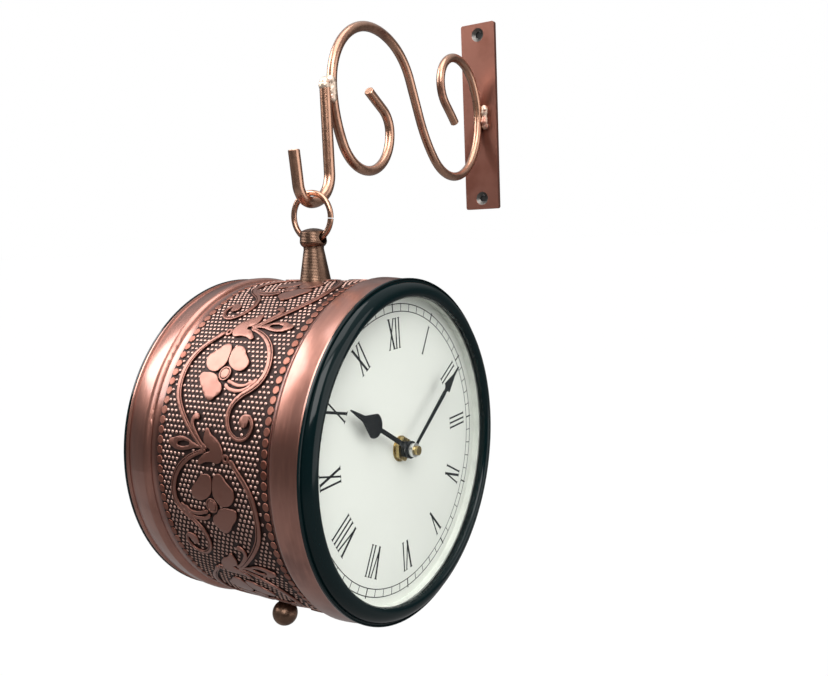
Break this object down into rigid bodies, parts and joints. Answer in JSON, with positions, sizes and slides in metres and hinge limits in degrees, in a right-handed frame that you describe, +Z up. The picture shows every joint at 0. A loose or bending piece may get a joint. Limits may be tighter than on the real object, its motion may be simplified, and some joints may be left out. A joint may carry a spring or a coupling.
{
  "type": "double sided station clock",
  "caption": "Round copper-finished wall clock with a dial at each end of an embossed drum, hung by a ring from a scrolled bracket with a screw-on plate.",
  "frame": {"origin": "centre of the wall plate's back face", "axes": "+X into the wall, the front dial faces -Y, +Z up"},
  "size_m": [0.2776, 0.1296, 0.3347],
  "materials": {
    "bracket_copper": "antique copper plating, brushed and lacquered",
    "weld_bright": "bright braze",
    "drum_copper": "antique copper plating on embossed sheet, relief rubbed bright",
    "lug_copper": "dark antique copper, turned",
    "tinned_steel": "bright zinc",
    "dial_face": "matt cream print",
    "dial_sleeve": "satin cream",
    "bezel_black": "gloss black",
    "clear_glass": "clear domed glass",
    "keeper_rubber": "black rubber",
    "movement_plastic": "black moulded plastic",
    "battery_jacket": "plain sleeve",
    "gear_plastic": "white moulded plastic",
    "brass": "polished brass",
    "hand_black": "semi-gloss black"
  },
  "bodies": {
    "bracket": {"wall_plate": "bracket_copper", "scroll_arm": "bracket_copper", "plate_weld": "weld_bright", "hook_rod": "bracket_copper", "hook_weld": "weld_bright"},
    "ring": {"hanging_ring": "bracket_copper"},
    "clock": {"drum_shell": "drum_copper", "hanger_lug": "lug_copper", "lug_washer": "tinned_steel", "lug_nut": "tinned_steel", "ball_feet": "lug_copper", "foot_washers": "tinned_steel", "foot_nuts": "tinned_steel", "front_dial_seat": "tinned_steel", "front_dial": "dial_face", "front_dial_sleeve": "dial_sleeve", "front_movement_case": "movement_plastic", "front_movement_cover": "movement_plastic", "front_battery": "battery_jacket", "front_battery_contacts": "tinned_steel", "front_drive_unit": "gear_plastic", "front_movement_gasket": "keeper_rubber", "front_fixing_washer": "brass", "front_fixing_nut": "brass", "rear_dial_seat": "tinned_steel", "rear_dial": "dial_face", "rear_dial_sleeve": "dial_sleeve", "rear_movement_case": "movement_plastic", "rear_movement_cover": "movement_plastic", "rear_battery": "battery_jacket", "rear_battery_contacts": "tinned_steel", "rear_drive_unit": "gear_plastic", "rear_movement_gasket": "keeper_rubber", "rear_fixing_washer": "brass", "rear_fixing_nut": "brass"},
    "front_minute_work": {"front_minute_arbor": "brass", "front_minute_hand": "hand_black", "front_hand_nut": "brass"},
    "front_hour_work": {"front_hour_wheel": "gear_plastic", "front_hour_hand": "hand_black"},
    "front_reducing_wheel": {"front_minute_wheel": "gear_plastic"},
    "front_setting_knob": {"front_set_knob": "gear_plastic"},
    "front_cover": {"front_bezel": "bezel_black", "front_glass": "clear_glass", "front_glass_keeper": "keeper_rubber"},
    "rear_minute_work": {"rear_minute_arbor": "brass", "rear_minute_hand": "hand_black", "rear_hand_nut": "brass"},
    "rear_hour_work": {"rear_hour_wheel": "gear_plastic", "rear_hour_hand": "hand_black"},
    "rear_reducing_wheel": {"rear_minute_wheel": "gear_plastic"},
    "rear_setting_knob": {"rear_set_knob": "gear_plastic"},
    "rear_cover": {"rear_bezel": "bezel_black", "rear_glass": "clear_glass", "rear_glass_keeper": "keeper_rubber"}
  },
  "joints": [
    {"name": "ring_swing", "type": "hinge", "parent": "bracket", "child": "ring", "pos_m": [-0.192, 0, -0.0605], "axis": [1, 0, 0], "range_deg": [-20, 20]},
    {"name": "clock_sway", "type": "hinge", "parent": "ring", "child": "clock", "pos_m": [-0.192, 0, -0.0798], "axis": [0, 1, 0], "range_deg": [-20, 20]},
    {"name": "front_minute_turn", "type": "hinge", "parent": "clock", "child": "front_minute_work", "pos_m": [-0.192, 0, -0.1847], "axis": [0, 1, 0], "continuous": true},
    {"name": "front_hour_turn", "type": "hinge", "parent": "clock", "child": "front_hour_work", "pos_m": [-0.192, 0, -0.1847], "axis": [0, 1, 0], "continuous": true},
    {"name": "front_reducing_turn", "type": "hinge", "parent": "clock", "child": "front_reducing_wheel", "pos_m": [-0.19942, 0, -0.17727], "axis": [0, 1, 0], "continuous": true},
    {"name": "front_knob_turn", "type": "hinge", "parent": "clock", "child": "front_setting_knob", "pos_m": [-0.20734, 0, -0.16936], "axis": [0, 1, 0], "continuous": true},
    {"name": "front_cover_pull", "type": "slide", "parent": "clock", "child": "front_cover", "axis": [0, -1, 0], "range_m": [0, 0.02]},
    {"name": "rear_minute_turn", "type": "hinge", "parent": "clock", "child": "rear_minute_work", "pos_m": [-0.192, 0, -0.1847], "axis": [0, -1, 0], "continuous": true},
    {"name": "rear_hour_turn", "type": "hinge", "parent": "clock", "child": "rear_hour_work", "pos_m": [-0.192, 0, -0.1847], "axis": [0, -1, 0], "continuous": true},
    {"name": "rear_reducing_turn", "type": "hinge", "parent": "clock", "child": "rear_reducing_wheel", "pos_m": [-0.18457, 0, -0.17727], "axis": [0, -1, 0], "continuous": true},
    {"name": "rear_knob_turn", "type": "hinge", "parent": "clock", "child": "rear_setting_knob", "pos_m": [-0.17666, 0, -0.16936], "axis": [0, -1, 0], "continuous": true},
    {"name": "rear_cover_pull", "type": "slide", "parent": "clock", "child": "rear_cover", "axis": [0, 1, 0], "range_m": [0, 0.02]}
  ],
  "couplings": [
    {"joint": "front_hour_turn", "follows": "front_minute_turn", "ratio": 0.083333},
    {"joint": "front_reducing_turn", "follows": "front_minute_turn", "ratio": -0.25},
    {"joint": "front_knob_turn", "follows": "front_minute_turn", "ratio": 0.75},
    {"joint": "rear_hour_turn", "follows": "rear_minute_turn", "ratio": 0.083333},
    {"joint": "rear_reducing_turn", "follows": "rear_minute_turn", "ratio": -0.25},
    {"joint": "rear_knob_turn", "follows": "rear_minute_turn", "ratio": 0.75}
  ]
}
